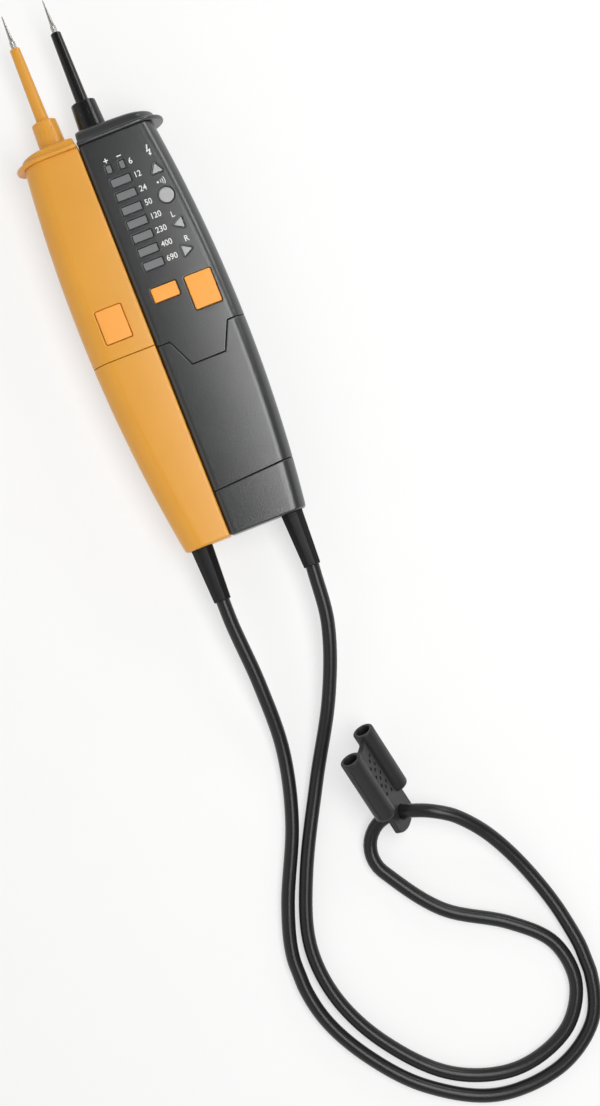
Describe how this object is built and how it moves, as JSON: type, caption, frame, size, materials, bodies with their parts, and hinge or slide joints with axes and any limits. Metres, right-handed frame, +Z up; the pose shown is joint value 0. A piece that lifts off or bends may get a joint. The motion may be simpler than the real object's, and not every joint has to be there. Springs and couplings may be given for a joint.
{
  "type": "two-pole voltage tester",
  "caption": "Two-pole voltage tester: display handle and clipped second handle with probes, joined by a long lead that carries a rubber double cap.",
  "frame": {"origin": "middle of the tester on the surface that it lies on, the strain reliefs counted and the free lead and its tip cap not", "axes": "+X to the main handle's outer side, +Y towards the probe points, +Z up out of the display"},
  "size_m": [0.143, 0.5931, 0.0425],
  "materials": {
    "main_housing": "finely textured moulded plastic",
    "main_nose": "smooth moulded plastic",
    "second_housing": "satin moulded plastic",
    "key": "satin silicone rubber coated key",
    "window": "translucent light guide",
    "plated_tip": "nickel plated brass",
    "lead_rubber": "smooth soft rubber",
    "cap_rubber": "moulded rubber",
    "dome_rubber": "silicone",
    "circuit_board": "solder resist",
    "component": "moulded plastic",
    "resistor": "lacquered",
    "led": "clear resin",
    "cell": "printed sleeve, bare of text",
    "contact": "nickel plated steel",
    "screw": "zinc plated",
    "wire": "insulated wire"
  },
  "bodies": {
    "root": {"main_front_housing": "main_housing", "main_end_cap": "main_housing", "main_rear_housing": "main_housing", "main_finger_guard": "main_nose", "main_probe_sleeve": "main_nose", "main_probe_tip": "plated_tip", "level_windows": "window", "signal_windows": "window", "small_key_dome": "dome_rubber", "large_key_dome": "dome_rubber", "main_circuit_board": "circuit_board", "indicator_leds": "led", "processor_chips": "component", "main_resistors": "resistor", "buzzer": "component", "battery_tray": "component", "battery_cells": "cell", "battery_contacts": "contact", "main_screws": "screw", "battery_cover_screw": "screw", "main_probe_wire": "wire", "main_lead_wires": "wire", "main_strain_relief": "lead_rubber", "test_lead": "lead_rubber"},
    "second_handle": {"second_front_housing": "second_housing", "second_rear_housing": "second_housing", "second_grip_sleeve": "second_housing", "second_finger_guard": "second_housing", "second_probe_sleeve": "second_housing", "second_probe_tip": "plated_tip", "test_key_dome": "dome_rubber", "second_circuit_board": "circuit_board", "second_resistors": "resistor", "second_screws": "screw", "clip_pegs": "component", "second_probe_wire": "wire", "second_lead_wire": "wire", "second_strain_relief": "lead_rubber"},
    "battery_cover": {"battery_cover": "main_housing"},
    "small_button": {"small_button": "key"},
    "large_button": {"large_button": "key"},
    "test_button": {"test_button": "key"},
    "tip_cap": {"tip_cap": "cap_rubber"}
  },
  "joints": [
    {"name": "small_button_press", "type": "slide", "parent": "root", "child": "small_button", "axis": [0, 0, -1], "range_m": [0, 0.001], "stiffness_N_per_m": 300, "deforming": ["small_key_dome"]},
    {"name": "large_button_press", "type": "slide", "parent": "root", "child": "large_button", "axis": [0, 0, -1], "range_m": [0, 0.001], "stiffness_N_per_m": 300, "deforming": ["large_key_dome"]},
    {"name": "test_button_press", "type": "slide", "parent": "second_handle", "child": "test_button", "axis": [0, 0, -1], "range_m": [0, 0.001], "stiffness_N_per_m": 300, "deforming": ["test_key_dome"]},
    {"name": "second_handle_unclip", "type": "slide", "parent": "root", "child": "second_handle", "axis": [-1, 0, 0], "range_m": [0, 0.04]},
    {"name": "battery_cover_lift", "type": "slide", "parent": "root", "child": "battery_cover", "axis": [0, 0, 1], "range_m": [0, 0.03]},
    {"name": "tip_cap_swivel", "type": "hinge", "parent": "root", "child": "tip_cap", "pos_m": [0.021, -0.284, 0.0109], "axis": [0.8513, -0.0771, 0.519], "range_deg": [0, 45]}
  ]
}
